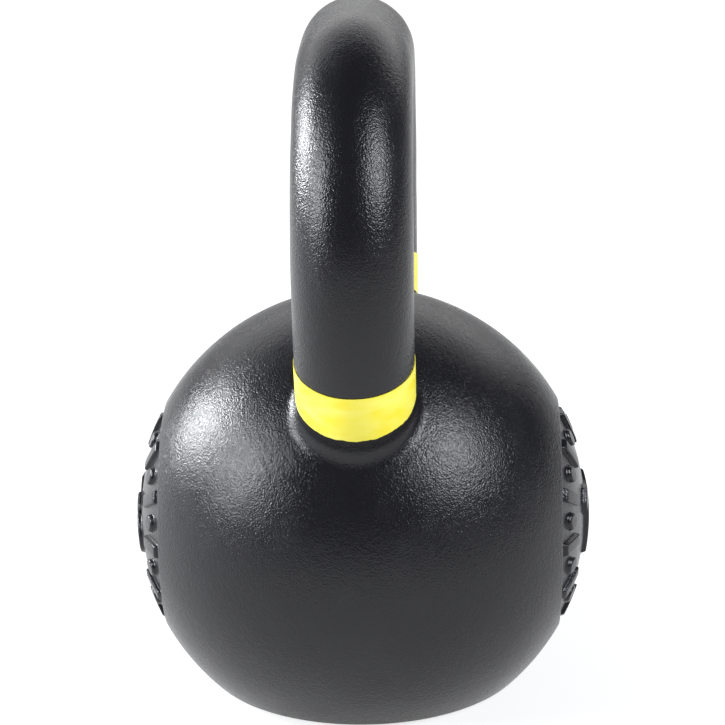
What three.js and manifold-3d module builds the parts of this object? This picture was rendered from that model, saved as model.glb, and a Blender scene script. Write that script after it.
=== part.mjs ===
// A cast iron kettlebell: a solid ball on a flat base, a round bar handle, and a colour band on
// each leg of the handle. Millimetres, +Z up. The grip runs along X and the front faces -Y.
// The origin is the centre of the flat base.

import * as THREE from "three";
import { mergeVertices } from "three/addons/utils/BufferGeometryUtils.js";
import Module from "manifold-3d";

const wasm = await Module();
wasm.setup();

// Ball
const ballRadius = 78;
const ballCentreHeight = 54.5;
const outerFillet = 8;
const innerFillet = 3;

// Handle, with its bends measured at the middle of the bar
const windowHeight = 60;
const handleWidth = 170;
const barRadius = 19;
const cornerRadius = 54.5;
const legBendRadius = 76;

// Colour bands
const bandWidth = 15;
const bandDepth = 1.7;
const bandProud = 0.35;
const bareLeg = 1.2;

// Medallions on the front and the back of the ball
const medallionRadius = 39;
const medallionInset = 1.4;
const medallionEdge = 6;
const reliefRise = 0.2;

// Raised marks on a medallion: rays and studs in turn round a circle, and the weight in the middle
const rayCount = 12;
const rayCircle = 31;
const rayLength = 11;
const rayWidth = 4.6;
const studRadius = 3;
const numeralHeight = 24;
const numeralStroke = 4.6;
const numeralGap = 3.6;
const flagReach = 4;
const bowlRadius = 7.2;
const stemRadius = 18;

// Clearances between pieces that lie against each other
const seamGap = 0.3;

// Facets
const ballSides = 64;
const barSides = 36;
const barStep = 7;
const filletSteps = 5;
const medallionSides = 48;
const curveSides = 6;
const domeStep = 10;

// How far in from the ball's surface a leg's foot ends, as a share of the ball's radius
const buriedShare = 0.9;

const gripHeight = ballRadius + windowHeight + barRadius;
const legReach = handleWidth / 2 - barRadius;
const gripHalf = legReach - cornerRadius;
const legStart = gripHalf + cornerRadius * Math.PI / 2;
const legEnd = legStart + legBendRadius * Math.PI / 2;
const neckRadius = barRadius - bandDepth - seamGap;
const domeRadius = ballRadius - medallionInset;
const medallionBack = Math.sqrt(domeRadius ** 2 - medallionRadius ** 2) - medallionEdge;

const blackCoat = { color: 0x1b1b1c, roughness: 0.5, metalness: 0.1 };
const yellowEnamel = { color: 0xf2ec3c, roughness: 0.45, metalness: 0 };


// The middle of the bar, in the plane of the handle, as seen from the ball's centre. A distance
// is measured along the bar from the middle of the grip, and is negative towards -X.
function barMiddle(distance) {
  const side = Math.sign(distance);
  const along = Math.abs(distance);
  if (along <= gripHalf) {
    return new THREE.Vector3(distance, 0, gripHeight);
  }
  if (along <= legStart) {
    const turn = (along - gripHalf) / cornerRadius;
    const x = gripHalf + cornerRadius * Math.sin(turn);
    return new THREE.Vector3(side * x, 0, gripHeight - cornerRadius * (1 - Math.cos(turn)));
  }
  const turn = (along - legStart) / legBendRadius;
  const x = legReach - legBendRadius * (1 - Math.cos(turn));
  return new THREE.Vector3(side * x, 0, gripHeight - cornerRadius - legBendRadius * Math.sin(turn));
}

// The direction away from the bar's middle, square to a leg, at a turn round it. A turn of 0
// faces away from the handle's window.
function legNormal(distance, turn) {
  const lean = (distance - legStart) / legBendRadius;
  return new THREE.Vector3(
    Math.cos(turn) * Math.cos(lean),
    Math.sin(turn),
    -Math.cos(turn) * Math.sin(lean),
  );
}

class BarLine extends THREE.Curve {
  constructor(from, to) {
    super();
    this.from = from;
    this.to = to;
  }

  getPoint(t) {
    return barMiddle(THREE.MathUtils.lerp(this.from, this.to, t));
  }
}

function toSolid(geometry) {
  const bare = geometry.clone();
  bare.deleteAttribute("normal");
  bare.deleteAttribute("uv");
  const merged = mergeVertices(bare, 1e-4);
  const vertProperties = new Float32Array(merged.attributes.position.array);
  const triVerts = new Uint32Array(merged.index.array);
  return new wasm.Manifold(new wasm.Mesh({ numProp: 3, vertProperties, triVerts }));
}

function toGeometry(solid) {
  const mesh = solid.getMesh();
  const geometry = new THREE.BufferGeometry();
  geometry.setAttribute("position", new THREE.BufferAttribute(mesh.vertProperties, 3));
  geometry.setIndex(new THREE.BufferAttribute(mesh.triVerts, 1));
  return geometry;
}

function joined(solids) {
  return solids.reduce((whole, solid) => whole.add(solid));
}

function circle(radius, sides) {
  return new THREE.EllipseCurve(0, 0, radius, radius).getPoints(sides).slice(0, sides);
}

// A stretch of bar, bent along the handle's line.
function bar(radius, from, to) {
  const section = new THREE.Shape(circle(radius, barSides));
  const steps = Math.max(2, Math.round(Math.abs(to - from) / barStep));
  const extrudePath = new BarLine(from, to);
  return toSolid(new THREE.ExtrudeGeometry(section, { steps, extrudePath, bevelEnabled: false }));
}

// Where the middle of a ball of the fillet's radius lies while it touches both leg and ball. The
// fillet is widest on the outer side of the leg and tightest inside the window.
function filletPlace(turn) {
  const radius = THREE.MathUtils.lerp(innerFillet, outerFillet, (1 + Math.cos(turn)) / 2);
  let high = legStart;
  let low = legEnd;
  for (let i = 0; i < 40; i += 1) {
    const distance = (high + low) / 2;
    const centre = legNormal(distance, turn).multiplyScalar(barRadius + radius);
    centre.add(barMiddle(distance));
    if (centre.length() > ballRadius + radius) {
      high = distance;
    } else {
      low = distance;
    }
  }
  const distance = (high + low) / 2;
  const outward = legNormal(distance, turn);
  const centre = outward.clone().multiplyScalar(barRadius + radius).add(barMiddle(distance));
  return { distance, outward, centre, radius };
}

// The rolled fillet, from its edge on the leg (share 0) to its edge on the ball (share 1).
function filletPoint({ outward, centre, radius }, share) {
  const start = outward.clone().negate();
  const end = centre.clone().normalize().negate();
  const angle = start.angleTo(end);
  const blend = start.multiplyScalar(Math.sin((1 - share) * angle));
  blend.addScaledVector(end, Math.sin(share * angle)).divideScalar(Math.sin(angle));
  return blend.multiplyScalar(radius).add(centre);
}

// A closed skin over rings of points, with a point at each end.
function skin(top, rings, bottom) {
  const sides = rings[0].length;
  const points = [top, ...rings.flat(), bottom];
  const index = [];
  for (let i = 0; i < sides; i += 1) {
    const next = (i + 1) % sides;
    index.push(0, 1 + i, 1 + next);
    for (let row = 0; row < rings.length - 1; row += 1) {
      const upper = 1 + row * sides;
      const lower = upper + sides;
      index.push(upper + i, lower + i, lower + next, upper + i, lower + next, upper + next);
    }
    const last = 1 + (rings.length - 1) * sides;
    index.push(last + next, last + i, points.length - 1);
  }
  const geometry = new THREE.BufferGeometry().setFromPoints(points);
  geometry.setIndex(index);
  return geometry;
}

const barTurns = Array.from({ length: barSides }, (_, i) => 2 * Math.PI * i / barSides);
const filletPlaces = barTurns.map(filletPlace);
const filletTop = Math.min(...filletPlaces.map((place) => place.distance));
const bandEnd = filletTop - bareLeg;
const bandStart = bandEnd - bandWidth;
const seam = (bandStart + bandEnd) / 2;

// The foot of a leg: bare bar from the band down, then the fillet, run on into the ball.
function legRoot(side) {
  const shoulder = bandEnd + seamGap;
  const middle = barMiddle(shoulder);
  const rings = [barTurns.map((turn) => {
    return legNormal(shoulder, turn).multiplyScalar(barRadius).add(middle);
  })];
  for (let step = 0; step <= filletSteps; step += 1) {
    rings.push(filletPlaces.map((place) => filletPoint(place, step / filletSteps)));
  }
  rings.push(rings.at(-1).map((point) => point.clone().multiplyScalar(buriedShare)));
  const bottom = middle.clone().setLength(ballRadius * buriedShare);
  const foot = skin(middle, rings, bottom);
  const neck = bar(neckRadius, side * (seam + seamGap / 2), side * (shoulder + bareLeg));
  return toSolid(side > 0 ? foot : foot.rotateZ(Math.PI)).add(neck);
}

function ballBlank() {
  const low = -Math.asin(ballCentreHeight / ballRadius);
  const rows = Math.round(ballSides * (Math.PI / 2 - low) / (2 * Math.PI));
  const profile = [new THREE.Vector2(0, -ballCentreHeight)];
  for (let row = 0; row < rows; row += 1) {
    const angle = THREE.MathUtils.lerp(low, Math.PI / 2, row / rows);
    profile.push(new THREE.Vector2(ballRadius * Math.cos(angle), ballRadius * Math.sin(angle)));
  }
  profile.push(new THREE.Vector2(0, ballRadius));
  return toSolid(new THREE.LatheGeometry(profile, ballSides).rotateX(Math.PI / 2));
}

// A round seat for a medallion, cut in from the front of the ball; a turn of PI cuts the back.
function medallionRecess(turn) {
  const radius = medallionRadius + seamGap;
  const depth = ballRadius - medallionBack + seamGap;
  const cutter = new THREE.CylinderGeometry(radius, radius, depth, medallionSides);
  cutter.translate(0, -ballRadius + depth / 2, 0).rotateZ(turn);
  return toSolid(cutter);
}

function ballWithRoots() {
  const whole = joined([ballBlank(), legRoot(1), legRoot(-1)]);
  return whole.subtract(medallionRecess(0)).subtract(medallionRecess(Math.PI));
}

function handle() {
  const shoulder = bandStart - seamGap;
  const neck = seam - seamGap / 2;
  return bar(barRadius, -shoulder, shoulder).add(bar(neckRadius, -neck, neck));
}

function colourBand(side) {
  const bore = bar(neckRadius + seamGap, side * (bandStart - bareLeg), side * (bandEnd + bareLeg));
  return bar(barRadius + bandProud, side * bandStart, side * bandEnd).subtract(bore);
}

// A round block with a flat back and a domed face, facing +Z, on a ball of the given radius.
function domedBlock(radius, edge) {
  const rows = Math.max(2, Math.round(edge / domeStep));
  const profile = [new THREE.Vector2(0, medallionBack)];
  profile.push(new THREE.Vector2(edge, medallionBack));
  for (let row = 0; row < rows; row += 1) {
    const across = edge * (1 - row / rows);
    profile.push(new THREE.Vector2(across, Math.sqrt(radius ** 2 - across ** 2)));
  }
  profile.push(new THREE.Vector2(0, radius));
  return toSolid(new THREE.LatheGeometry(profile, medallionSides).rotateX(Math.PI / 2));
}

function raised(shape, x = 0, y = 0, turn = 0) {
  const depth = ballRadius + reliefRise - medallionBack;
  const options = { depth, bevelEnabled: false, curveSegments: curveSides };
  const geometry = new THREE.ExtrudeGeometry(shape, options);
  geometry.translate(x, y, medallionBack).rotateZ(turn);
  return toSolid(geometry);
}

function outline(points) {
  return new THREE.Shape(points.map(([x, y]) => new THREE.Vector2(x, y)));
}

function numeralOne() {
  const right = flagReach + numeralStroke;
  return outline([
    [flagReach, 0],
    [right, 0],
    [right, numeralHeight],
    [flagReach, numeralHeight],
    [0, numeralHeight - flagReach],
    [0, numeralHeight - flagReach - numeralStroke],
    [flagReach, numeralHeight - numeralStroke],
  ]);
}

function bowlOfSix() {
  const bowl = new THREE.Shape().absarc(0, 0, bowlRadius, 0, 2 * Math.PI);
  bowl.holes.push(new THREE.Path().absarc(0, 0, bowlRadius - numeralStroke, 0, 2 * Math.PI));
  return bowl;
}

// The curved stem of a six, from the left of its bowl up to the numeral's height.
function stemOfSix() {
  const top = Math.PI - Math.asin((numeralHeight - bowlRadius) / stemRadius);
  const stem = new THREE.Shape().absarc(0, 0, stemRadius, Math.PI, top, true);
  stem.absarc(0, 0, stemRadius - numeralStroke, top, Math.PI, false);
  return stem;
}

function weightMark() {
  const six = flagReach + numeralStroke + numeralGap;
  const left = -(six + 2 * bowlRadius) / 2;
  const foot = -numeralHeight / 2;
  return [
    raised(numeralOne(), left, foot),
    raised(bowlOfSix(), left + six + bowlRadius, foot + bowlRadius),
    raised(stemOfSix(), left + six + stemRadius, foot + bowlRadius),
  ];
}

function rayAndStud(i) {
  const pitch = 2 * Math.PI / rayCount;
  const low = -rayLength / 2;
  const ray = outline([
    [-rayWidth / 2, low],
    [rayWidth / 2, low],
    [rayWidth / 2, -low],
    [-rayWidth / 2, -low],
  ]);
  const stud = new THREE.Shape().absarc(0, 0, studRadius, 0, 2 * Math.PI);
  return [raised(ray, 0, rayCircle, i * pitch), raised(stud, 0, rayCircle, (i + 0.5) * pitch)];
}

function medallion() {
  const marks = weightMark();
  for (let i = 0; i < rayCount; i += 1) {
    marks.push(...rayAndStud(i));
  }
  const relief = joined(marks).intersect(domedBlock(ballRadius + reliefRise, medallionRadius));
  return domedBlock(domeRadius, medallionRadius).add(relief);
}

function piece(name, solid, look) {
  const mesh = new THREE.Mesh(toGeometry(solid), new THREE.MeshStandardMaterial(look));
  mesh.name = name;
  return mesh;
}

// Every piece is made round the ball's centre.
const kettlebell = new THREE.Group();
kettlebell.position.z = ballCentreHeight;
kettlebell.add(piece("ball", ballWithRoots(), blackCoat));
kettlebell.add(piece("handle", handle(), blackCoat));
kettlebell.add(piece("colour_band_right", colourBand(1), yellowEnamel));
kettlebell.add(piece("colour_band_left", colourBand(-1), yellowEnamel));

const frontMedallion = piece("front_medallion", medallion(), blackCoat);
frontMedallion.rotation.x = Math.PI / 2;
const backMedallion = piece("back_medallion", medallion(), blackCoat);
backMedallion.rotation.set(-Math.PI / 2, 0, Math.PI);
kettlebell.add(frontMedallion, backMedallion);

const object = new THREE.Group();
object.add(kettlebell);

export default object;
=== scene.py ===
import functools
import math

import bmesh
import bpy
from mathutils import Matrix, Vector, noise


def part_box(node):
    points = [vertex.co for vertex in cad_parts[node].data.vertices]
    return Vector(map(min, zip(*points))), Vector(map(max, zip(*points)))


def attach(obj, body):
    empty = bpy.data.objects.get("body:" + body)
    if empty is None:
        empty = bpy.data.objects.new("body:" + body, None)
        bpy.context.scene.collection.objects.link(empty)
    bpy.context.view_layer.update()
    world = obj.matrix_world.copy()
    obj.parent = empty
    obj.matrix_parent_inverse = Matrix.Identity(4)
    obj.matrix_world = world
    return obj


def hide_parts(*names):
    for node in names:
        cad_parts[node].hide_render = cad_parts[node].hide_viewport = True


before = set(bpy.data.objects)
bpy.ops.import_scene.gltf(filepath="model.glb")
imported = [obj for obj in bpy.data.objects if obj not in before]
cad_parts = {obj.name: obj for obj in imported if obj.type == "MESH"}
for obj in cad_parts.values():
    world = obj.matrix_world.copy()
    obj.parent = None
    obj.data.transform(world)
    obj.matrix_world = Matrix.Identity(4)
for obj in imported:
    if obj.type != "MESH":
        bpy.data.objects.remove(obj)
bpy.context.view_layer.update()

bl_info = {
    "name": "Cast Iron Kettlebell",
    "version": (1, 0, 0),
    "blender": (4, 5, 0),
    "location": "3D View > Sidebar > Kettlebell",
    "description": "Builds a powder-coated cast iron kettlebell with colour bands and medallions",
    "category": "Add Mesh",
}

MM = 0.001
NEAR = 0.001 * MM
BALL_LOW, BALL_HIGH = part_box("ball")
HANDLE_LOW, HANDLE_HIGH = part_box("handle")
MEDALLION_LOW, MEDALLION_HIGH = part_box("front_medallion")


def length(name, description, default, **limits):
    """A size in metres for the sidebar."""
    return bpy.props.FloatProperty(
        name=name, description=description, default=default, min=0.0, precision=5,
        unit="LENGTH", **limits)


def share(name, description, default, most=1.0):
    """A plain number for the sidebar."""
    return bpy.props.FloatProperty(
        name=name, description=description, default=default, min=0.0, max=most)


def colour(name, description, default):
    """A colour for the sidebar."""
    return bpy.props.FloatVectorProperty(
        name=name, description=description, default=default, size=4, min=0.0, max=1.0,
        subtype="COLOR")


class KettlebellSizes(bpy.types.PropertyGroup):
    """Sizes of the casting: the ball, its leg roots and the handle."""

    ball_radius: length("Ball radius", "Radius of the ball", (BALL_HIGH.x - BALL_LOW.x) / 2)
    ball_height: length(
        "Ball height", "Height of the ball's centre above the floor",
        BALL_HIGH.z - (BALL_HIGH.x - BALL_LOW.x) / 2)
    base_round: length("Base rounding", "Radius of the edge round the flat base", 2.2 * MM)
    bar_radius: length(
        "Bar radius", "Radius of the handle's bar", (HANDLE_HIGH.y - HANDLE_LOW.y) / 2)
    handle_width: length(
        "Handle width", "Outside width of the handle", HANDLE_HIGH.x - HANDLE_LOW.x)
    handle_top: length("Handle top", "Height of the top of the grip", HANDLE_HIGH.z)
    corner_radius: length(
        "Corner bend", "Bend from the grip into a leg, at the bar's middle", 54.5 * MM)
    leg_radius: length("Leg bend", "Gentle inward bend of a leg, at the bar's middle", 76 * MM)
    outer_fillet: length("Outer fillet", "Fillet under a leg, on its outer side", 8 * MM)
    inner_fillet: length("Inner fillet", "Fillet under a leg, inside the window", 3 * MM)
    swell: length("Casting swell", "Height of the slow unevenness of the casting", 0.22 * MM)


class KettlebellBands(bpy.types.PropertyGroup):
    """Sizes of the painted colour bands."""

    width: length("Band width", "Width of a band along the leg", 15 * MM)
    bare_leg: length("Bare leg", "Bare bar between a band and the fillet", 1.2 * MM)
    thickness: length("Paint thickness", "How far the paint stands proud of the bar", 0.25 * MM)
    brush_wave: length("Brush wave", "How far the lower edge strays where it was brushed", 0.45 * MM)


class KettlebellMedallions(bpy.types.PropertyGroup):
    """Sizes of the two medallions and their raised marks."""

    radius: length(
        "Field radius", "Radius of the sunk round field", (MEDALLION_HIGH.x - MEDALLION_LOW.x) / 2)
    inset: length("Field depth", "How far the field lies below the ball's surface", 1.4 * MM)
    relief: length("Relief", "How far the marks stand above the field", 1.6 * MM)
    ray_count: bpy.props.IntProperty(
        name="Rays", description="Rays round the field, with a stud between each two",
        default=12, min=3, max=36)
    circle: length("Mark circle", "Radius of the circle that rays and studs stand on", 31 * MM)
    ray_length: length("Ray length", "Length of a ray", 11 * MM)
    ray_width: length("Ray width", "Width of a ray", 4.6 * MM)
    stud_radius: length("Stud radius", "Radius of a stud", 3 * MM)
    numeral_height: length("Numeral height", "Height of the raised numerals", 24 * MM)
    stroke: length("Stroke", "Width of the numerals' strokes", 4.6 * MM)
    numeral_gap: length("Numeral gap", "Space between the two numerals", 3.6 * MM)
    flag_reach: length("Flag", "Reach of the flag of the one", 4 * MM)
    bowl_radius: length("Bowl", "Outer radius of the bowl of the six", 7.2 * MM)
    stem_radius: length("Stem", "Outer radius of the curved stem of the six", 18 * MM)


class KettlebellFinish(bpy.types.PropertyGroup):
    """Colours and surface of the coat, the enamel and the floor."""

    coat: colour("Powder coat", "Colour of the powder coat", (0.0065, 0.0065, 0.0085, 1))
    coat_worn: colour("Rubbed coat", "Colour of the coat where it is rubbed", (0.012, 0.012, 0.0145, 1))
    coat_roughness: share("Coat roughness", "Roughness of the powder coat", 0.26)
    grain: length("Grain", "Size of the powder coat's grain", 0.56 * MM)
    grain_depth: length("Grain depth", "Height of the powder coat's grain", 0.17 * MM)
    enamel: colour("Enamel", "Colour of the bands", (0.90, 0.77, 0.02, 1))
    enamel_thin: colour("Thin enamel", "Colour where the brush left less paint", (0.91, 0.85, 0.14, 1))
    enamel_roughness: share("Enamel roughness", "Roughness of the enamel", 0.38)
    floor: colour("Floor", "Colour of the floor", (0.36, 0.36, 0.36, 1))


# ---- Working tools ---------------------------------------------------------------------------

def settle():
    """Leaves edit mode and deselects everything."""
    if bpy.context.mode != "OBJECT":
        bpy.ops.object.mode_set(mode="OBJECT")
    bpy.ops.object.select_all(action="DESELECT")


def work_on(piece):
    """Makes a piece the only one selected, and the active one."""
    settle()
    piece.select_set(True)
    bpy.context.view_layer.objects.active = piece


def edit(piece, mode="EDGE"):
    """Opens a piece in edit mode."""
    work_on(piece)
    bpy.ops.object.mode_set(mode="EDIT")
    bpy.ops.mesh.select_mode(type=mode)


def begin(name):
    """Names the primitive just added, and writes its place into its mesh."""
    piece = bpy.context.object
    piece.name = name
    piece.data.name = name
    bpy.ops.object.transform_apply(location=True, rotation=True, scale=True)
    return piece


def choose(kind, test):
    """In edit mode, selects only the vertices, edges or faces that pass a test."""
    data = bpy.context.object.data
    mesh = bmesh.from_edit_mesh(data)
    for part in (*mesh.verts, *mesh.edges, *mesh.faces):
        part.select = False
    for part in getattr(mesh, kind):
        if test(part):
            part.select_set(True)
    bmesh.update_edit_mesh(data)


def place_chosen(place):
    """In edit mode, moves each selected vertex to where the function puts it."""
    data = bpy.context.object.data
    mesh = bmesh.from_edit_mesh(data)
    for vertex in mesh.verts:
        if vertex.select:
            vertex.co = place(vertex)
    bmesh.update_edit_mesh(data)


def next_ring(place):
    """Extrudes the selected rim once, and puts the new ring where the function says."""
    bpy.ops.mesh.extrude_edges_move()
    place_chosen(place)


def turn_about(centre, axis, angle, steps):
    """Spins the selection about an axis, by the right-hand rule; the operator runs the other way."""
    bpy.ops.mesh.spin(steps=steps, angle=-angle, center=centre, axis=axis, dupli=False)


def apply_modifier(piece, kind, **settings):
    """Adds a modifier to a piece and applies it."""
    work_on(piece)
    modifier = piece.modifiers.new(kind.title(), kind)
    for key, value in settings.items():
        setattr(modifier, key, value)
    bpy.ops.object.modifier_apply(modifier=modifier.name)


def union(piece, other):
    """Joins a closed piece to another and removes the spare."""
    apply_modifier(piece, "BOOLEAN", operation="UNION", solver="EXACT", object=other)
    bpy.data.objects.remove(other, do_unlink=True)


def tidy_normals(piece, gap=0.002 * MM):
    """Merges doubles and turns all faces outwards."""
    edit(piece, "VERT")
    bpy.ops.mesh.select_all(action="SELECT")
    bpy.ops.mesh.remove_doubles(threshold=gap)
    bpy.ops.mesh.normals_make_consistent(inside=False)
    settle()


def smooth(piece, degrees=32):
    """Shades a piece smooth, keeping its sharper edges."""
    work_on(piece)
    bpy.ops.object.shade_smooth_by_angle(angle=math.radians(degrees))


def uneven(piece, height, size, weight):
    """Gives a casting its slow unevenness, as real shape, where the weight allows it."""
    group = piece.vertex_groups.new(name="uneven")
    for vertex in piece.data.vertices:
        group.add([vertex.index], weight(vertex.co), "REPLACE")
    clouds = bpy.data.textures.new(piece.name + "_swell", "CLOUDS")
    clouds.noise_scale = size
    clouds.noise_depth = 2
    apply_modifier(
        piece, "DISPLACE", texture=clouds, texture_coords="LOCAL", strength=height,
        mid_level=0.5, vertex_group="uneven")
    piece.vertex_groups.clear()
    bpy.data.textures.remove(clouds)


def finish_piece(piece, slot, material, *nodes):
    """Gives a piece its material and its place in the frame."""
    piece.data.materials.clear()
    piece.data.materials.append(material)
    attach(piece, "root")
    if nodes:
        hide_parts(*nodes)
    settle()


# ---- The line of the handle ------------------------------------------------------------------

class BarLine:
    """The middle of the bar for the +X leg. A lean is the angle a leg has turned inwards."""

    def __init__(self, sizes, bands):
        self.sizes = sizes
        self.bar = sizes.bar_radius
        self.ball = Vector((0, 0, sizes.ball_height))
        self.reach = sizes.handle_width / 2 - sizes.bar_radius
        self.grip_half = self.reach - sizes.corner_radius
        self.grip_height = sizes.handle_top - sizes.bar_radius
        self.bend_height = self.grip_height - sizes.corner_radius
        self.corner_centre = Vector((self.grip_half, 0, self.bend_height))
        self.leg_centre = Vector((self.reach - sizes.leg_radius, 0, self.bend_height))
        turns = [math.tau * i / ROOT_SIDES for i in range(ROOT_SIDES)]
        highest = min(self.fillet(turn)[0] for turn in turns)
        self.band_end = highest - bands.bare_leg / sizes.leg_radius
        self.band_start = self.band_end - bands.width / sizes.leg_radius
        self.seam = (self.band_start + self.band_end) / 2

    def outward(self, lean, turn):
        """Away from the bar's middle, at a turn round it; 0 faces away from the window."""
        return Vector((
            math.cos(turn) * math.cos(lean), math.sin(turn), -math.cos(turn) * math.sin(lean)))

    def middle(self, lean):
        """A point on the middle of the leg."""
        return self.leg_centre + self.sizes.leg_radius * Vector((math.cos(lean), 0, -math.sin(lean)))

    def surface(self, lean, turn, radius=None):
        """A point on the bar, or at another radius round its middle."""
        return self.middle(lean) + self.outward(lean, turn) * (radius or self.bar)

    @functools.lru_cache(maxsize=None)
    def fillet(self, turn):
        """Where a ball of the fillet's radius touches leg and ball: the lean, its centre, its radius."""
        sizes = self.sizes
        widest = (1 + math.cos(turn)) / 2
        radius = sizes.inner_fillet + (sizes.outer_fillet - sizes.inner_fillet) * widest
        sunk = sizes.ball_radius - ROOT_SINK
        high, low = 0.0, math.pi / 2
        for _ in range(40):
            lean = (high + low) / 2
            centre = self.surface(lean, turn, self.bar + radius)
            if (centre - self.ball).length > sunk + radius:
                high = lean
            else:
                low = lean
        return lean, centre, radius

    def fillet_point(self, turn, part):
        """The fillet, from its edge on the leg (part 0) to its edge on the ball (part 1)."""
        lean, centre, radius = self.fillet(turn)
        start = -self.outward(lean, turn)
        end = (self.ball - centre).normalized()
        return centre + radius * start.slerp(end, part)


# The fillet meets a ball a little smaller than the real one, so that the two cross cleanly
ROOT_SINK = 0.02 * MM
# A root runs on into the ball to this share of the way from its centre
ROOT_BURIED = 0.9
ROOT_SIDES = 128
SHOULDER_STEPS = 5
FILLET_STEPS = 10


def bar_line():
    """The line of the handle at the sizes in the sidebar."""
    scene = bpy.context.scene
    return BarLine(scene.kettlebell_sizes, scene.kettlebell_bands)


def leg_root(name, side):
    """A leg's foot from the middle of its band down to the fillet, run on into the ball."""
    line = bar_line()
    settle()
    bpy.ops.mesh.primitive_circle_add(vertices=ROOT_SIDES, radius=line.bar, fill_type="NGON")
    root = begin(name)
    edit(root)
    mesh = bmesh.from_edit_mesh(root.data)
    turn = mesh.verts.layers.float.new("turn")
    for vertex in mesh.verts:
        vertex[turn] = math.atan2(vertex.co.y, vertex.co.x)
    bpy.ops.mesh.select_all(action="SELECT")

    def turn_of(vertex):
        layer = bmesh.from_edit_mesh(root.data).verts.layers.float["turn"]
        return vertex[layer]

    place_chosen(lambda vertex: line.surface(line.seam, turn_of(vertex)))
    choose("edges", lambda edge: edge.is_boundary)
    for step in range(1, SHOULDER_STEPS):
        part = step / SHOULDER_STEPS
        next_ring(lambda vertex: line.surface(
            line.seam + (line.fillet(turn_of(vertex))[0] - line.seam) * part, turn_of(vertex)))
    for step in range(FILLET_STEPS + 1):
        part = step / FILLET_STEPS
        next_ring(lambda vertex: line.fillet_point(turn_of(vertex), part))
    next_ring(lambda vertex: line.ball + (vertex.co - line.ball) * ROOT_BURIED)
    bpy.ops.mesh.edge_face_add()
    settle()
    if side < 0:
        root.data.transform(Matrix.Rotation(math.pi, 4, "Z"))
    tidy_normals(root)
    return root


# ---- The ball --------------------------------------------------------------------------------

BALL_SEGMENTS = 256
BASE_STEPS = 6
# Where a leg stands on the ball, as an angle from straight up, and the merge after joining it
FOOT_ANGLE = 0.83
JOIN_MERGE = 0.004 * MM
LIP_ROUND = 0.45 * MM
RECESS_WALL = 3.5 * MM
RECESS_GAP = 0.2 * MM


def poled_sphere(name, radius, height):
    """A sphere with its poles at the front and the back."""
    settle()
    bpy.ops.mesh.primitive_uv_sphere_add(
        segments=BALL_SEGMENTS, ring_count=BALL_SEGMENTS // 2, radius=radius,
        location=(0, 0, height),
        rotation=(math.pi / 2, 0, 0))
    return begin(name)


def cut_recess(ball, side, radius, ball_radius):
    """Cuts a round recess in the front (side -1) or the back of the ball, with a rounded lip."""
    lip = side * math.sqrt(ball_radius ** 2 - radius ** 2)
    edit(ball)
    bpy.ops.mesh.select_all(action="SELECT")
    bpy.ops.mesh.bisect(
        plane_co=(0, lip, 0), plane_no=(0, side, 0), clear_outer=True, use_fill=False)
    choose("edges", lambda edge: edge.is_boundary)
    next_ring(lambda vertex: vertex.co - Vector((0, side * RECESS_WALL, 0)))
    bpy.ops.mesh.edge_face_add()
    choose("edges", lambda edge: all(abs(vertex.co.y - lip) < NEAR for vertex in edge.verts))
    bpy.ops.mesh.bevel(offset=LIP_ROUND, segments=3, affect="EDGES")
    settle()


def cut_base(ball, sizes):
    """Cuts the ball flat at the floor and rolls its edge round into the base."""
    rounding = sizes.base_round
    height = sizes.ball_height
    inner = sizes.ball_radius - rounding
    across = math.sqrt(inner ** 2 - (height - rounding) ** 2)
    start = math.asin((height - rounding) / inner)
    edit(ball)
    bpy.ops.mesh.select_all(action="SELECT")
    bpy.ops.mesh.bisect(
        plane_co=(0, 0, rounding * (1 - math.sin(start))), plane_no=(0, 0, -1),
        clear_outer=True, use_fill=False)
    choose("edges", lambda edge: edge.is_boundary)
    for step in range(1, BASE_STEPS + 1):
        angle = start + (math.pi / 2 - start) * step / BASE_STEPS
        out = across + rounding * math.cos(angle)
        up = rounding * (1 - math.sin(angle))

        def rolled(vertex):
            flat = Vector((vertex.co.x, vertex.co.y, 0)).normalized()
            return flat * out + Vector((0, 0, up))

        next_ring(rolled)
    bpy.ops.mesh.edge_face_add()
    settle()


def fade(distance, start, end):
    """0 up to the start, 1 from the end on, and smooth between them."""
    part = min(max((distance - start) / (end - start), 0.0), 1.0)
    return part * part * (3 - 2 * part)


class KETTLEBELL_OT_add_ball(bpy.types.Operator):
    """Add the ball, with its flat base, two recesses and the roots of the handle's legs"""

    bl_idname = "kettlebell.add_ball"
    bl_label = "Add Ball"

    def execute(self, context):
        sizes = context.scene.kettlebell_sizes
        medallions = context.scene.kettlebell_medallions
        radius = sizes.ball_radius
        recess = medallions.radius + RECESS_GAP
        ball = poled_sphere("ball_body", radius, sizes.ball_height)
        cut_recess(ball, -1, recess, radius)
        cut_recess(ball, 1, recess, radius)
        cut_base(ball, sizes)
        tidy_normals(ball)
        for name, side in (("root_right", 1), ("root_left", -1)):
            union(ball, leg_root(name, side))
        tidy_normals(ball, JOIN_MERGE)
        line = bar_line()
        foot = Vector((math.sin(FOOT_ANGLE), 0, math.cos(FOOT_ANGLE))) * radius

        def weight(place):
            off = place - line.ball
            from_foot = (Vector((abs(off.x), off.y, off.z)) - foot).length
            from_axis = math.hypot(off.x, off.z)
            return (fade(place.z, 3 * MM, 12 * MM) * fade(from_foot, 26 * MM, 40 * MM)
                    * (fade(from_axis, recess + 1 * MM, recess + 8 * MM)
                       if abs(off.y) > radius / 2 else 1.0))

        uneven(ball, sizes.swell, 22 * MM, weight)
        smooth(ball)
        finish_piece(ball, "black_coat", coat_material("coat_ball"), "ball")
        return {"FINISHED"}


# ---- The handle ------------------------------------------------------------------------------

BAR_SIDES = 96


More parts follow.
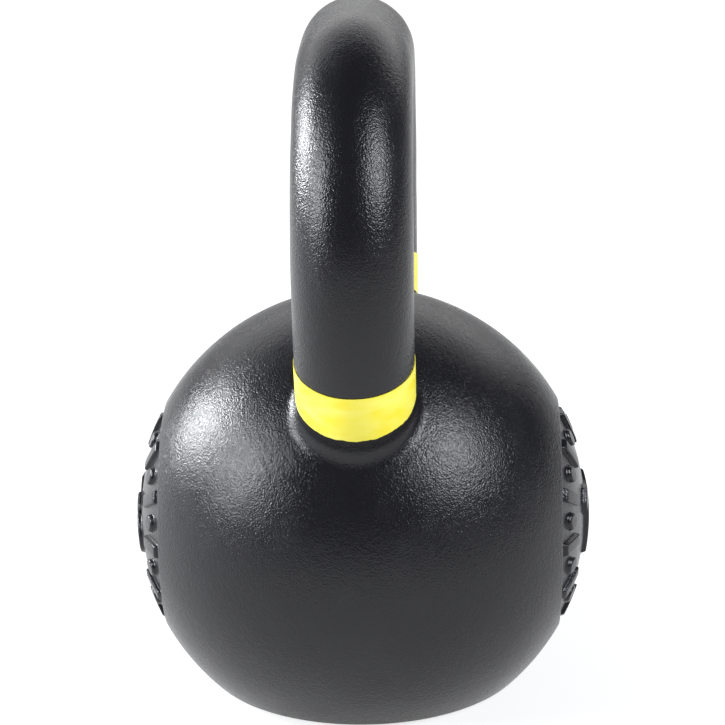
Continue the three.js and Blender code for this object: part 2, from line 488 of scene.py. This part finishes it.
def bar_ring(name, radius, line):
    """A ring of edges round the middle of the grip."""
    settle()
    bpy.ops.mesh.primitive_circle_add(
        vertices=BAR_SIDES, radius=radius, location=(0, 0, line.grip_height),
        rotation=(0, math.pi / 2, 0))
    return begin(name)


def spin_leg(line, lean, steps):
    """Carries the selected ring round the gentle bend of the leg."""
    turn_about(line.leg_centre, (0, 1, 0), lean, steps)


class KETTLEBELL_OT_add_handle(bpy.types.Operator):
    """Add the handle: a straight grip, two corner bends and two legs"""

    bl_idname = "kettlebell.add_handle"
    bl_label = "Add Handle"

    def execute(self, context):
        sizes = context.scene.kettlebell_sizes
        line = bar_line()
        handle = bar_ring("handle_bar", line.bar, line)
        edit(handle)
        bpy.ops.mesh.select_all(action="SELECT")
        grip_steps = 5
        for _ in range(grip_steps):
            next_ring(lambda vertex: vertex.co + Vector((line.grip_half / grip_steps, 0, 0)))
        turn_about(line.corner_centre, (0, 1, 0), math.pi / 2, 40)
        spin_leg(line, line.seam, 16)
        bpy.ops.mesh.edge_face_add()
        apply_modifier(
            handle, "MIRROR", use_axis=(True, False, False), use_mirror_merge=True,
            merge_threshold=0.01 * MM)
        tidy_normals(handle)
        end = line.middle(line.seam)
        uneven(handle, sizes.swell, 16 * MM, lambda place: fade(
            (Vector((abs(place.x), 0, place.z)) - end).length, 12 * MM, 24 * MM))
        smooth(handle, 40)
        finish_piece(handle, "black_coat", coat_material("coat_handle", grip=True), "handle")
        return {"FINISHED"}


# ---- The colour bands ------------------------------------------------------------------------

class KETTLEBELL_OT_add_colour_bands(bpy.types.Operator):
    """Add the painted colour band round each leg"""

    bl_idname = "kettlebell.add_colour_bands"
    bl_label = "Add Colour Bands"

    def execute(self, context):
        bands = context.scene.kettlebell_bands
        line = bar_line()
        for name, node, side in (
                ("band_right", "colour_band_right", 1), ("band_left", "colour_band_left", -1)):
            band = self.paint_ring(name, line, bands)
            if side < 0:
                band.data.transform(Matrix.Rotation(math.pi, 4, "Z"))
            tidy_normals(band)
            smooth(band, 50)
            finish_piece(band, "yellow_enamel", enamel_material(), node)
        return {"FINISHED"}

    def paint_ring(self, name, line, bands):
        """A thin closed ring of paint, with a lower edge that strays a little."""
        settle()
        bpy.ops.mesh.primitive_circle_add(vertices=2 * BAR_SIDES, radius=line.bar)
        band = begin(name)
        edit(band)
        bpy.ops.mesh.select_all(action="SELECT")
        outer = line.bar + bands.thickness
        place_chosen(lambda vertex: line.surface(
            line.band_start, math.atan2(vertex.co.y, vertex.co.x), outer))
        spin_leg(line, line.band_end - line.band_start, 14)
        down = Vector((-math.sin(line.band_end), 0, -math.cos(line.band_end)))

        def stray(vertex):
            wave = noise.noise(vertex.co * 260) + 0.6 * noise.noise(vertex.co * 900)
            return vertex.co + down * bands.brush_wave * wave

        place_chosen(stray)
        apply_modifier(
            band, "SOLIDIFY", thickness=bands.thickness - 0.02 * MM, offset=-1,
            use_even_offset=True)
        return band


# ---- The medallions --------------------------------------------------------------------------

# Rise of a mark's side, as steps inwards and upwards from its foot, in shares of the relief
MARK_STEPS = (
    (0.10, 0.06), (0.07, 0.10), (0.05, 0.22), (0.05, 0.26), (0.06, 0.18), (0.10, 0.12),
    (0.12, 0.05), (0.12, 0.01))
MARK_FOOT = 0.3 * MM
SLICE = 1.9 * MM


def raise_mark(piece, relief):
    """Draws a flat mark up from its outline, with a flared foot and rounded upper edges."""
    edit(piece, "FACE")
    for inwards, upwards in MARK_STEPS:
        top = max(vertex.co.z for vertex in bmesh.from_edit_mesh(piece.data).verts)
        choose("faces", lambda face: all(abs(v.co.z - top) < NEAR for v in face.verts))
        bpy.ops.mesh.inset(
            thickness=inwards * relief, depth=upwards * relief, use_even_offset=True,
            use_boundary=True)
    settle()


def slice_piece(piece, step):
    """Cuts a flat piece into small squares, so that it can follow the dome."""
    edit(piece)
    reach = max(max(abs(v.co.x), abs(v.co.y)) for v in bmesh.from_edit_mesh(piece.data).verts)
    count = math.floor(reach / step)
    if count > 100:
        raise ValueError(f"{piece.name} is too wide to cut into squares of {step} m")
    for i in range(-count, count + 1):
        for normal in ((1, 0, 0), (0, 1, 0)):
            bpy.ops.mesh.select_all(action="SELECT")
            bpy.ops.mesh.bisect(plane_co=Vector(normal) * i * step, plane_no=normal)
    settle()


def wrap_on_dome(piece, dome, height):
    """Lays a flat piece, drawn in X and Y, on the front of the dome."""
    for vertex in piece.data.vertices:
        x, y, rise = vertex.co
        vertex.co = (x, -math.sqrt(dome ** 2 - x * x - y * y) - rise, height + y)
    tidy_normals(piece)


def join(name, pieces):
    """Joins pieces into one object."""
    settle()
    for piece in pieces:
        piece.select_set(True)
    bpy.context.view_layer.objects.active = pieces[0]
    bpy.ops.object.join()
    pieces[0].name = name
    pieces[0].data.name = name
    return pieces[0]


def copies_round(piece, count, radius):
    """Copies a mark round the field and joins the copies."""
    made = []
    for i in range(count):
        work_on(piece)
        bpy.ops.object.duplicate()
        copy = bpy.context.object
        copy.data.transform(Matrix.Translation((0, radius, 0)))
        copy.data.transform(Matrix.Rotation(math.tau * i / count, 4, "Z"))
        made.append(copy)
    bpy.data.objects.remove(piece, do_unlink=True)
    return made


def add_ray(sizes):
    """One ray: a block with rounded corners, drawn up into a mark."""
    settle()
    bpy.ops.mesh.primitive_cube_add(size=1, location=(0, 0, -MARK_FOOT / 2))
    ray = bpy.context.object
    flare = 0.3 * sizes.relief
    ray.scale = (sizes.ray_width + flare, sizes.ray_length + flare, MARK_FOOT)
    ray = begin("ray")
    edit(ray)
    choose("edges", lambda edge: abs(edge.verts[0].co.z - edge.verts[1].co.z) > MARK_FOOT / 2)
    bpy.ops.mesh.bevel(offset=0.9 * MM, segments=4, affect="EDGES")
    raise_mark(ray, sizes.relief)
    slice_piece(ray, SLICE)
    return ray


def add_stud(sizes):
    """One stud: a low round block, drawn up into a mark."""
    settle()
    bpy.ops.mesh.primitive_cylinder_add(
        vertices=36, radius=sizes.stud_radius + 0.15 * sizes.relief, depth=MARK_FOOT,
        location=(0, 0, -MARK_FOOT / 2))
    stud = begin("stud")
    raise_mark(stud, sizes.relief)
    slice_piece(stud, SLICE)
    return stud


def spun_strip(name, centre, inner, outer, angle, steps):
    """A flat strip, spun from the left of a centre."""
    settle()
    bpy.ops.mesh.primitive_plane_add(size=1)
    strip = begin(name)
    edit(strip, "VERT")
    choose("verts", lambda vertex: vertex.co.y > 0)
    bpy.ops.mesh.delete(type="VERT")
    bpy.ops.mesh.select_all(action="SELECT")
    place_chosen(lambda vertex: centre + Vector((-outer if vertex.co.x < 0 else -inner, 0, 0)))
    turn_about(centre, (0, 0, 1), angle, steps)
    bpy.ops.mesh.select_all(action="SELECT")
    bpy.ops.mesh.remove_doubles(threshold=0.005 * MM)
    bpy.ops.mesh.select_all(action="SELECT")
    bpy.ops.mesh.extrude_region_move(TRANSFORM_OT_translate={"value": (0, 0, -MARK_FOOT)})
    settle()
    tidy_normals(strip)
    return strip


def add_six(sizes, left, foot):
    """The six: a round bowl joined to a curved stem."""
    flare = 0.15 * sizes.relief
    bowl_outer = sizes.bowl_radius
    bowl = spun_strip(
        "six", Vector((left + bowl_outer, foot + bowl_outer, 0)),
        bowl_outer - sizes.stroke - flare, bowl_outer + flare, math.tau, 64)
    rise = sizes.numeral_height - sizes.bowl_radius
    stem_centre = Vector((left + sizes.stem_radius, foot + bowl_outer, 0))
    stem = spun_strip(
        "stem", stem_centre, sizes.stem_radius - sizes.stroke - flare,
        sizes.stem_radius + flare, -math.asin(rise / sizes.stem_radius), 12)
    for part in (bowl, stem):
        raise_mark(part, sizes.relief)
    union(bowl, stem)
    tidy_normals(bowl)
    return bowl


def add_one(sizes, left, foot):
    """The one: an upright with a flag."""
    flare = 0.15 * sizes.relief
    settle()
    right = left + sizes.flag_reach + sizes.stroke
    top = foot + sizes.numeral_height
    bpy.ops.mesh.primitive_cube_add(size=1, location=(0, 0, -MARK_FOOT / 2))
    one = bpy.context.object
    one.scale = (sizes.stroke + 2 * flare, sizes.numeral_height + 2 * flare, MARK_FOOT)
    one.location.x = right - sizes.stroke / 2
    one.location.y = foot + sizes.numeral_height / 2
    one = begin("one")
    edit(one)
    flag_foot = top - sizes.flag_reach - sizes.stroke
    flag_top = top - sizes.stroke
    bpy.ops.mesh.select_all(action="SELECT")
    bpy.ops.mesh.bisect(plane_co=(0, flag_top - flare, 0), plane_no=(0, 1, 0))
    left_side = right - sizes.stroke - flare
    edit(one, "FACE")
    choose("faces", lambda face: all(
        abs(v.co.x - left_side) < NEAR and v.co.y > flag_top - flare - NEAR for v in face.verts))

    def drop(vertex):
        return Vector((left - flare, vertex.co.y - sizes.flag_reach, vertex.co.z))

    bpy.ops.mesh.extrude_region_move()
    place_chosen(drop)
    settle()
    tidy_normals(one)
    raise_mark(one, sizes.relief)
    return one


class KETTLEBELL_OT_add_medallions(bpy.types.Operator):
    """Add the sunk round field on each face, with its rays, studs and numerals"""

    bl_idname = "kettlebell.add_medallions"
    bl_label = "Add Medallions"

    def execute(self, context):
        sizes = context.scene.kettlebell_medallions
        casting = context.scene.kettlebell_sizes
        dome = casting.ball_radius - sizes.inset
        coat = coat_material("coat_medallion", fine=True)
        fronts = (
            self.field(sizes, casting, dome), self.rays(sizes, casting, dome),
            self.studs(sizes, casting, dome), self.numerals(sizes, casting, dome))
        for front in fronts:
            work_on(front)
            bpy.ops.object.duplicate()
            back = bpy.context.object
            back.data.transform(Matrix.Rotation(math.pi, 4, "Z"))
            back.name = front.name.replace("front", "back")
            back.data.name = back.name
            for piece, node in ((front, "front_medallion"), (back, "back_medallion")):
                replaced = (node,) if piece.name.endswith("field") else ()
                finish_piece(piece, "black_coat", coat, *replaced)
        return {"FINISHED"}

    def field(self, sizes, casting, dome):
        """The domed field, closed behind by a short wall."""
        field = poled_sphere("front_field", dome, casting.ball_height)
        edge = -math.sqrt(dome ** 2 - sizes.radius ** 2)
        edit(field)
        bpy.ops.mesh.select_all(action="SELECT")
        bpy.ops.mesh.bisect(
            plane_co=(0, edge, 0), plane_no=(0, 1, 0), clear_outer=True, use_fill=False)
        choose("edges", lambda rim: rim.is_boundary)
        wall = RECESS_WALL - 2 * sizes.inset
        next_ring(lambda vertex: vertex.co + Vector((0, wall, 0)))
        bpy.ops.mesh.edge_face_add()
        choose("edges", lambda rim: all(abs(v.co.y - edge) < NEAR for v in rim.verts))
        bpy.ops.mesh.bevel(offset=0.25 * MM, segments=2, affect="EDGES")
        settle()
        tidy_normals(field)
        uneven(field, casting.swell, 6 * MM, lambda place: fade(
            edge - place.y, 0.5 * MM, 2 * MM))
        smooth(field)
        return field

    def rays(self, sizes, casting, dome):
        """The rays, one every step round the field."""
        rays = join("front_rays", copies_round(add_ray(sizes), sizes.ray_count, sizes.circle))
        wrap_on_dome(rays, dome, casting.ball_height)
        smooth(rays, 40)
        return rays

    def studs(self, sizes, casting, dome):
        """The studs, one between each two rays."""
        studs = join("front_studs", copies_round(add_stud(sizes), sizes.ray_count, sizes.circle))
        studs.data.transform(Matrix.Rotation(math.pi / sizes.ray_count, 4, "Z"))
        wrap_on_dome(studs, dome, casting.ball_height)
        smooth(studs, 40)
        return studs

    def numerals(self, sizes, casting, dome):
        """The weight in kilograms, in raised numerals."""
        second = sizes.flag_reach + sizes.stroke + sizes.numeral_gap
        left = -(second + 2 * sizes.bowl_radius) / 2
        foot = -sizes.numeral_height / 2
        pieces = [add_one(sizes, left, foot), add_six(sizes, left + second, foot)]
        for piece in pieces:
            slice_piece(piece, SLICE)
        numerals = join("front_numerals", pieces)
        wrap_on_dome(numerals, dome, casting.ball_height)
        smooth(numerals, 40)
        return numerals


# ---- Materials -------------------------------------------------------------------------------

def new_group(name, inputs, outputs):
    """An empty shader node group with named number inputs and outputs."""
    group = bpy.data.node_groups.new(name, "ShaderNodeTree")
    for label, value in inputs.items():
        socket = group.interface.new_socket(label, in_out="INPUT", socket_type="NodeSocketFloat")
        socket.default_value = value
    for label in outputs:
        group.interface.new_socket(label, in_out="OUTPUT", socket_type="NodeSocketFloat")
    return group


def add_node(tree, kind, settings=None, inputs=None):
    """Adds a node; an input takes a plain value or another node's socket."""
    node = tree.nodes.new(kind)
    for key, value in (settings or {}).items():
        setattr(node, key, value)
    for key, value in (inputs or {}).items():
        if isinstance(value, bpy.types.NodeSocket):
            tree.links.new(value, node.inputs[key])
        else:
            node.inputs[key].default_value = value
    return node


def maths(tree, operation, first, second=0.0, third=0.0):
    """One sum; each term is a number or a socket."""
    node = add_node(
        tree, "ShaderNodeMath", {"operation": operation}, {0: first, 1: second, 2: third})
    return node.outputs[0]


def grain_noise(tree, vector, per_metre, detail=2.0, roughness=0.5, stretch=None):
    """A noise at a given number of cells to the metre, from 0 to 1."""
    if stretch:
        vector = add_node(
            tree, "ShaderNodeMapping", None, {"Vector": vector, "Scale": stretch}).outputs[0]
    node = add_node(
        tree, "ShaderNodeTexNoise", {"noise_dimensions": "3D"},
        {"Vector": vector, "Scale": per_metre, "Detail": detail, "Roughness": roughness})
    return node.outputs["Fac"]


def powder_group():
    """The powder coat's surface: its height in metres, a slow tone and a rubbed share."""
    name = "Powder coat grain"
    if name in bpy.data.node_groups:
        return bpy.data.node_groups[name]
    group = new_group(
        name, {"Grain": 0.0008, "Depth": 0.00004, "Streak": 0.0}, ("Height", "Tone", "Rubbed"))
    start = group.nodes.new("NodeGroupInput")
    end = group.nodes.new("NodeGroupOutput")
    place = group.nodes.new("ShaderNodeTexCoord").outputs["Object"]
    per_metre = maths(group, "DIVIDE", 1.0, start.outputs["Grain"])
    pebbles = grain_noise(group, place, per_metre, 1.0, 0.5)
    slow = maths(group, "MULTIPLY", per_metre, 0.3)
    ripple = grain_noise(group, place, slow, 2.0, 0.5)
    dents = grain_noise(group, place, 110.0, 2.0, 0.5)
    streaks = grain_noise(group, place, 900.0, 2.0, 0.6, (1.0, 0.12, 0.5))
    height = maths(group, "MULTIPLY", pebbles, start.outputs["Depth"])
    ripple_depth = maths(group, "MULTIPLY", start.outputs["Depth"], 0.6)
    height = maths(group, "MULTIPLY_ADD", ripple, ripple_depth, height)
    dent_depth = maths(group, "MULTIPLY", start.outputs["Depth"], 0.5)
    height = maths(group, "MULTIPLY_ADD", dents, dent_depth, height)
    height = maths(group, "MULTIPLY_ADD", streaks, start.outputs["Streak"], height)
    tone = grain_noise(group, place, 45.0, 3.0, 0.6)
    rubbed = maths(group, "MULTIPLY", maths(group, "SUBTRACT", tone, 0.55), 4.0)
    rubbed = maths(group, "MINIMUM", maths(group, "MAXIMUM", rubbed, 0.0), 1.0)
    group.links.new(height, end.inputs["Height"])
    group.links.new(tone, end.inputs["Tone"])
    group.links.new(rubbed, end.inputs["Rubbed"])
    return group


def blank_material(name):
    """A new material: its node tree and its shader."""
    material = bpy.data.materials.new(name)
    material.use_nodes = True
    tree = material.node_tree
    shader = next(n for n in tree.nodes if n.type == "BSDF_PRINCIPLED")
    return material, tree, shader


def use_group(tree, group, **inputs):
    """Places a node group in a material with its own values."""
    node = tree.nodes.new("ShaderNodeGroup")
    node.node_tree = group
    for label, value in inputs.items():
        node.inputs[label].default_value = value
    return node


def mixed(tree, factor, first, second):
    """A blend of two colours."""
    node = tree.nodes.new("ShaderNodeMix")
    node.data_type = "RGBA"
    tree.links.new(factor, node.inputs["Factor"])
    node.inputs[6].default_value = first
    node.inputs[7].default_value = second
    return node.outputs[2]


def scaled(tree, value, low, high):
    """Carries a 0 to 1 value to a range."""
    return maths(tree, "MULTIPLY_ADD", value, high - low, low)


def coat_material(name, grip=False, fine=False):
    """Black powder coat. The grip has fine cross marks; a medallion's grain is shallower."""
    finish = bpy.context.scene.kettlebell_finish
    material, tree, shader = blank_material(name)
    depth = finish.grain_depth * (0.6 if fine else 1.0)
    powder = use_group(
        tree, powder_group(), Grain=finish.grain, Depth=depth, Streak=0.00001 if grip else 0.0)
    tree.links.new(
        mixed(tree, powder.outputs["Rubbed"], finish.coat, finish.coat_worn),
        shader.inputs["Base Color"])
    rough = finish.coat_roughness
    tree.links.new(
        scaled(tree, powder.outputs["Tone"], rough - 0.06, rough + 0.1),
        shader.inputs["Roughness"])
    bump = add_node(
        tree, "ShaderNodeBump", None,
        {"Strength": 1.0, "Distance": 1.0, "Height": powder.outputs["Height"]})
    tree.links.new(bump.outputs["Normal"], shader.inputs["Normal"])
    shader.inputs["IOR"].default_value = 1.41
    return material


def enamel_material():
    """Yellow enamel, brushed on by hand."""
    name = "band_enamel"
    if name in bpy.data.materials:
        return bpy.data.materials[name]
    finish = bpy.context.scene.kettlebell_finish
    material, tree, shader = blank_material(name)
    place = tree.nodes.new("ShaderNodeTexCoord").outputs["Object"]
    strokes = grain_noise(tree, place, 160.0, 2.0, 0.5, (1.0, 0.35, 1.6))
    patches = scaled(tree, strokes, -0.7, 1.7)
    clamped = maths(tree, "MINIMUM", maths(tree, "MAXIMUM", patches, 0.0), 1.0)
    tree.links.new(
        mixed(tree, clamped, finish.enamel, finish.enamel_thin), shader.inputs["Base Color"])
    rough = finish.enamel_roughness
    tree.links.new(scaled(tree, strokes, rough - 0.08, rough + 0.1), shader.inputs["Roughness"])
    grain = grain_noise(tree, place, 700.0, 2.0, 0.5)
    height = maths(tree, "MULTIPLY", grain, 0.000012)
    height = maths(tree, "MULTIPLY_ADD", strokes, 0.00006, height)
    bump = add_node(
        tree, "ShaderNodeBump", None, {"Strength": 1.0, "Distance": 1.0, "Height": height})
    tree.links.new(bump.outputs["Normal"], shader.inputs["Normal"])
    shader.inputs["IOR"].default_value = 1.48
    return material


def floor_material():
    """A plain pale floor, lit a little from within as a light table is."""
    material, tree, shader = blank_material("floor_white")
    shader.inputs["Base Color"].default_value = bpy.context.scene.kettlebell_finish.floor
    shader.inputs["Roughness"].default_value = 0.9
    shader.inputs["Specular IOR Level"].default_value = 0.1
    shader.inputs["Emission Color"].default_value = (1, 1, 1, 1)
    shader.inputs["Emission Strength"].default_value = FLOOR_GLOW
    return material


# ---- Stage -----------------------------------------------------------------------------------

FLOOR_GLOW = 0.72
CAMERA_DISTANCE = 0.858
CAMERA_ELEVATION = 0.380
CAMERA_AZIMUTH = 0.033
CAMERA_ROLL = -0.017
CAMERA_AIM = 0.030
CAMERA_LENS = 122.6
CAMERA_SHIFT = (0.0009, 0.0933)

# Each soft light: name, azimuth from +X towards +Y and elevation in degrees, distance, width,
# height in metres, brightness of its face and its tint
SOFT_LIGHTS = (
    ("key_light", -112, 22, 1.2, 0.26, 0.36, 66.0, (0.96, 0.98, 1.0)),
    ("left_light", -71, 27, 1.3, 0.32, 0.60, 30.0, (0.93, 0.95, 1.0)),
    ("right_light", 61, 39, 1.3, 0.34, 0.52, 28.0, (0.92, 0.94, 1.0)),
    ("back_light", 180, 27, 1.7, 2.6, 1.0, 1.4, (1.0, 1.0, 1.0)),
)


def direction(azimuth, elevation):
    """A unit vector, from an azimuth measured from +X towards +Y and an elevation."""
    flat = math.cos(elevation)
    return Vector((flat * math.cos(azimuth), flat * math.sin(azimuth), math.sin(elevation)))


def add_camera(target):
    """The camera, looking along the grip and down at the ball."""
    place = target + direction(CAMERA_AZIMUTH, CAMERA_ELEVATION) * CAMERA_DISTANCE
    aim = target + Vector((0, 0, CAMERA_AIM))
    forward = (aim - place).normalized()
    turn = forward.to_track_quat("-Z", "Y").to_matrix().to_4x4()
    bpy.ops.object.camera_add()
    camera = bpy.context.object
    camera.name = "camera"
    camera.matrix_world = (
        Matrix.Translation(place) @ turn @ Matrix.Rotation(CAMERA_ROLL, 4, "Z"))
    camera.data.sensor_width = 36
    camera.data.lens = CAMERA_LENS
    camera.data.shift_x, camera.data.shift_y = CAMERA_SHIFT
    camera.data.clip_start = 0.01
    camera.data.clip_end = 100
    bpy.context.scene.camera = camera


def add_soft_light(target, name, azimuth, elevation, distance, width, height, brightness, tint):
    """A rectangular soft light that faces the object."""
    place = target + direction(math.radians(azimuth), math.radians(elevation)) * distance
    turn = (target - place).to_track_quat("-Z", "Y")
    bpy.ops.object.light_add(type="AREA", location=place)
    light = bpy.context.object
    light.name = name
    light.rotation_mode = "QUATERNION"
    light.rotation_quaternion = turn
    light.data.shape = "RECTANGLE"
    light.data.size = width
    light.data.size_y = height
    light.data.energy = brightness * math.pi * width * height
    light.data.color = tint
    light.visible_camera = False


def add_surroundings():
    """A white surround behind the floor, and a dim one for what the object reflects."""
    world = bpy.data.worlds.new("studio")
    bpy.context.scene.world = world
    world.use_nodes = True
    tree = world.node_tree
    tree.nodes.clear()
    dim = add_node(tree, "ShaderNodeBackground", None, {
        "Color": (0.9, 0.92, 1, 1), "Strength": 0.08})
    white = add_node(tree, "ShaderNodeBackground", None, {
        "Color": (1, 1, 1, 1), "Strength": 1.0})
    path = tree.nodes.new("ShaderNodeLightPath")
    mix = add_node(tree, "ShaderNodeMixShader", None, {
        0: path.outputs["Is Camera Ray"], 1: dim.outputs[0], 2: white.outputs[0]})
    output = tree.nodes.new("ShaderNodeOutputWorld")
    tree.links.new(mix.outputs[0], output.inputs["Surface"])


class KETTLEBELL_OT_add_stage(bpy.types.Operator):
    """Add the pale floor, the soft lights and the camera"""

    bl_idname = "kettlebell.add_stage"
    bl_label = "Add Stage"

    def execute(self, context):
        target = Vector((0, 0, context.scene.kettlebell_sizes.ball_height))
        settle()
        bpy.ops.mesh.primitive_plane_add(size=16)
        floor = begin("floor")
        floor.data.materials.append(floor_material())
        add_surroundings()
        for light in SOFT_LIGHTS:
            settle()
            add_soft_light(target, *light)
        settle()
        add_camera(target)
        context.scene.view_settings.view_transform = "Standard"
        return {"FINISHED"}


# ---- Sidebar and registration ----------------------------------------------------------------

OPERATORS = (
    KETTLEBELL_OT_add_stage,
    KETTLEBELL_OT_add_ball,
    KETTLEBELL_OT_add_handle,
    KETTLEBELL_OT_add_colour_bands,
    KETTLEBELL_OT_add_medallions,
)
SETTINGS = {
    "kettlebell_sizes": KettlebellSizes,
    "kettlebell_bands": KettlebellBands,
    "kettlebell_medallions": KettlebellMedallions,
    "kettlebell_finish": KettlebellFinish,
}


class KETTLEBELL_PT_panel(bpy.types.Panel):
    """Sizes, colours and the pieces to add"""

    bl_idname = "KETTLEBELL_PT_panel"
    bl_label = "Kettlebell"
    bl_space_type = "VIEW_3D"
    bl_region_type = "UI"
    bl_category = "Kettlebell"

    def draw(self, context):
        for name, group in SETTINGS.items():
            box = self.layout.box()
            for key in group.__annotations__:
                box.prop(getattr(context.scene, name), key)
        for operator in OPERATORS:
            self.layout.operator(operator.bl_idname)


CLASSES = (*SETTINGS.values(), *OPERATORS, KETTLEBELL_PT_panel)


def register():
    """Registers the classes and puts the settings on the scene."""
    for item in CLASSES:
        bpy.utils.register_class(item)
    for name, group in SETTINGS.items():
        setattr(bpy.types.Scene, name, bpy.props.PointerProperty(type=group))


def unregister():
    """Takes the settings and the classes away again."""
    for name in SETTINGS:
        delattr(bpy.types.Scene, name)
    for item in reversed(CLASSES):
        bpy.utils.unregister_class(item)


def main():
    """Builds the kettlebell and its stage."""
    register()
    bpy.ops.kettlebell.add_stage()
    bpy.ops.kettlebell.add_ball()
    bpy.ops.kettlebell.add_handle()
    bpy.ops.kettlebell.add_colour_bands()
    bpy.ops.kettlebell.add_medallions()


if __name__ == "__main__":
    main()
